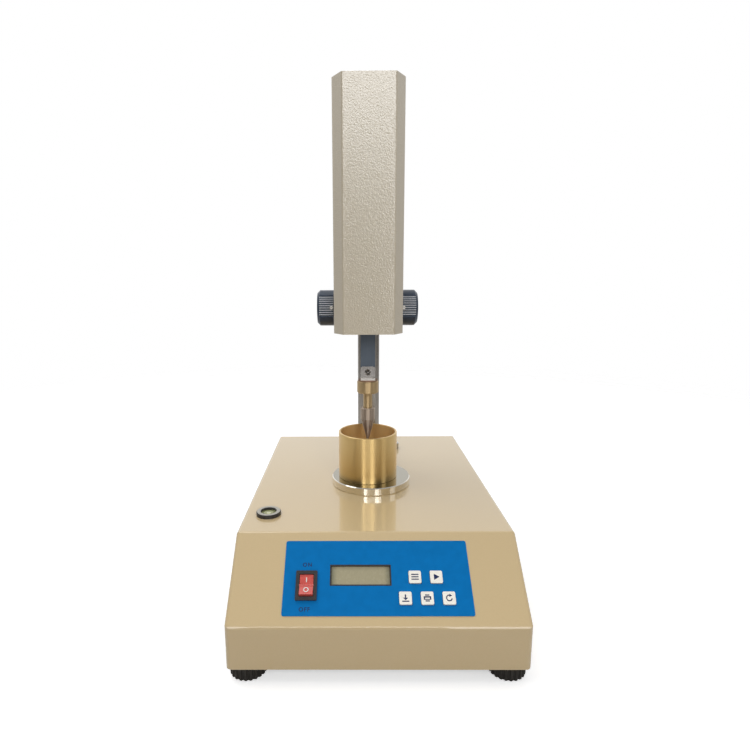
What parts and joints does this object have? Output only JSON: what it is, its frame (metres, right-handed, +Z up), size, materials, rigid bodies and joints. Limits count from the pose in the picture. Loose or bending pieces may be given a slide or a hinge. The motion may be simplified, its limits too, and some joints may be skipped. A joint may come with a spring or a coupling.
{
  "type": "soil cone penetrometer",
  "caption": "Bench cone penetrometer for soil: levelled wedge base with switch, display and keys, brass sample cup, and a drop cone in a head that racks up a post.",
  "frame": {"origin": "on the bench, under the middle of the whole instrument", "axes": "+Z up, +X to the right as the user faces the panel, +Y to the back"},
  "size_m": [0.212, 0.3128, 0.435],
  "materials": {
    "beige_paint": "semi-gloss beige paint with a fine hammered grain",
    "panel_blue": "satin blue printed sheet",
    "key_white": "satin white moulding",
    "rocker_red": "red moulding",
    "black_plastic": "fine matt black moulding",
    "black_rubber": "matt black",
    "knob_black": "satin black moulding",
    "display_grey": "grey-green display, off",
    "level_green": "clear yellow-green vial",
    "chrome": "bright plating",
    "polished_steel": "polished",
    "plain_steel": "zinc-plated",
    "cone_steel": "fine turned",
    "cast_grey": "grey enamel",
    "brass": "turned and polished",
    "strip_dark": "dark anodised",
    "board_green": "green lacquer",
    "aluminium": "milled",
    "guide_white": "plain moulding",
    "winding": "taped winding"
  },
  "bodies": {
    "base": {"base_cover": "beige_paint", "bottom_plate": "plain_steel", "plate_screws": "plain_steel", "foot_nuts": "plain_steel", "panel_overlay": "panel_blue", "switch_body": "black_plastic", "display_frame": "black_plastic", "display_glass": "display_grey", "panel_board": "board_green", "board_spacers": "plain_steel", "key_switches": "black_plastic", "level_ring": "black_plastic", "level_vial": "level_green", "hole_plug": "chrome", "sample_stand": "chrome", "stand_nut": "plain_steel", "post": "polished_steel", "post_socket": "cast_grey", "socket_bolts": "plain_steel", "rack": "plain_steel", "main_board": "board_green", "board_parts": "black_plastic", "transformer_core": "cast_grey", "transformer_coil": "winding", "power_inlet": "black_plastic", "inlet_pins": "plain_steel", "fuse_holder": "black_plastic", "printer_port": "plain_steel"},
    "head": {"head_cover": "beige_paint", "cover_screws": "plain_steel", "carriage": "aluminium", "shaft_bushes": "brass", "strip_guides": "guide_white", "sensor_head": "black_plastic", "magnet_bracket": "aluminium", "magnet_coil": "winding", "magnet_core": "plain_steel"},
    "knobs": {"knob_shaft": "plain_steel", "pinion": "brass", "knob_left": "knob_black", "knob_right": "knob_black"},
    "cone": {"armature": "plain_steel", "scale_strip": "strip_dark", "hanger": "polished_steel", "hanger_screw": "polished_steel", "collar_washer": "polished_steel", "cone_collar": "brass", "cone_spindle": "brass", "cone_tip": "cone_steel"},
    "cup": {"sample_cup": "brass"},
    "rocker": {"rocker": "rocker_red"},
    "key_set": {"key_set": "key_white"},
    "key_start": {"key_start": "key_white"},
    "key_store": {"key_store": "key_white"},
    "key_print": {"key_print": "key_white"},
    "key_reset": {"key_reset": "key_white"},
    "foot_front_left": {"foot_front_left": "black_rubber"},
    "foot_front_right": {"foot_front_right": "black_rubber"},
    "foot_back_left": {"foot_back_left": "black_rubber"},
    "foot_back_right": {"foot_back_right": "black_rubber"}
  },
  "joints": [
    {"name": "head_lift", "type": "slide", "parent": "base", "child": "head", "axis": [0, 0, 1], "range_m": [0, 0.06]},
    {"name": "knob_turn", "type": "hinge", "parent": "head", "child": "knobs", "pos_m": [-0.003, 0.0247, 0.249], "axis": [1, 0, 0], "range_deg": [-382.97, 1]},
    {"name": "cone_drop", "type": "slide", "parent": "head", "child": "cone", "axis": [0, 0, 1], "range_m": [-0.022, 0]},
    {"name": "cup_lift", "type": "slide", "parent": "base", "child": "cup", "axis": [0, 0, 1], "range_m": [0, 0.005]},
    {"name": "rocker_tilt", "type": "hinge", "parent": "base", "child": "rocker", "pos_m": [-0.0505, -0.13589, 0.06134], "axis": [1, 0, 0], "range_deg": [0, 20]},
    {"name": "key_set_press", "type": "slide", "parent": "base", "child": "key_set", "axis": [0, 0.6544, -0.7562], "range_m": [0, 0.0006], "stiffness_N_per_m": 800},
    {"name": "key_start_press", "type": "slide", "parent": "base", "child": "key_start", "axis": [0, 0.6544, -0.7562], "range_m": [0, 0.0006], "stiffness_N_per_m": 800},
    {"name": "key_store_press", "type": "slide", "parent": "base", "child": "key_store", "axis": [0, 0.6544, -0.7562], "range_m": [0, 0.0006], "stiffness_N_per_m": 800},
    {"name": "key_print_press", "type": "slide", "parent": "base", "child": "key_print", "axis": [0, 0.6544, -0.7562], "range_m": [0, 0.0006], "stiffness_N_per_m": 800},
    {"name": "key_reset_press", "type": "slide", "parent": "base", "child": "key_reset", "axis": [0, 0.6544, -0.7562], "range_m": [0, 0.0006], "stiffness_N_per_m": 800},
    {"name": "foot_front_left_turn", "type": "hinge", "parent": "base", "child": "foot_front_left", "pos_m": [-0.0925, -0.1424, 0], "axis": [0, 0, 1], "continuous": true},
    {"name": "foot_front_right_turn", "type": "hinge", "parent": "base", "child": "foot_front_right", "pos_m": [0.0925, -0.1424, 0], "axis": [0, 0, 1], "continuous": true},
    {"name": "foot_back_left_turn", "type": "hinge", "parent": "base", "child": "foot_back_left", "pos_m": [-0.0925, 0.1366, 0], "axis": [0, 0, 1], "continuous": true},
    {"name": "foot_back_right_turn", "type": "hinge", "parent": "base", "child": "foot_back_right", "pos_m": [0.0925, 0.1366, 0], "axis": [0, 0, 1], "continuous": true}
  ],
  "couplings": [
    {"joint": "knob_turn", "follows": "head_lift", "rad_per_m": -111.11}
  ]
}
